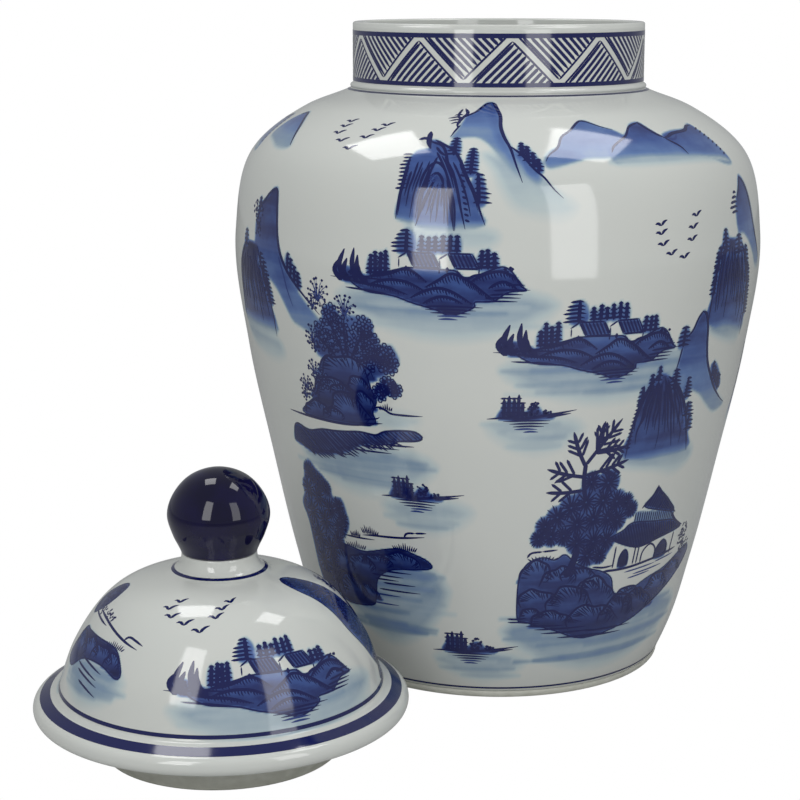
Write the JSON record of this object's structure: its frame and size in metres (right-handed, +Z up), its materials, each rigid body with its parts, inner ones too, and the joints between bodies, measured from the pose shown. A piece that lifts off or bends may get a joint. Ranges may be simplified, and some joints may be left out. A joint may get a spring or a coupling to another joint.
{
  "type": "ginger jar",
  "caption": "Tall shouldered porcelain jar with an upright neck, blue landscape painting, and a domed knobbed lid standing beside it.",
  "frame": {"origin": "on the ground, under the centre of the box round the jar and the lid that stands beside it", "axes": "+Z up along the turning axes of the jar and of the lid; +Y from the lid's side towards the jar, the longest side of the layout; +X to the right seen from the front"},
  "size_m": [0.3823, 0.3967, 0.3552],
  "materials": {
    "painted_porcelain": "clear gloss glaze over white porcelain with underglaze blue painting",
    "cobalt_glaze": "deep cobalt blue gloss glaze",
    "unglazed_biscuit": "matt unglazed fired body"
  },
  "bodies": {
    "jar": {"jar_body": "painted_porcelain", "jar_neck": "painted_porcelain", "jar_foot_ring": "unglazed_biscuit"},
    "lid": {"lid_dome": "painted_porcelain", "lid_locating_ring": "unglazed_biscuit", "lid_knob": "cobalt_glaze"}
  },
  "joints": [
    {"name": "lid_lift", "type": "slide", "parent": "jar", "child": "lid", "axis": [-0.1398, -0.1539, 0.9781], "range_m": [0, 0.42]}
  ]
}
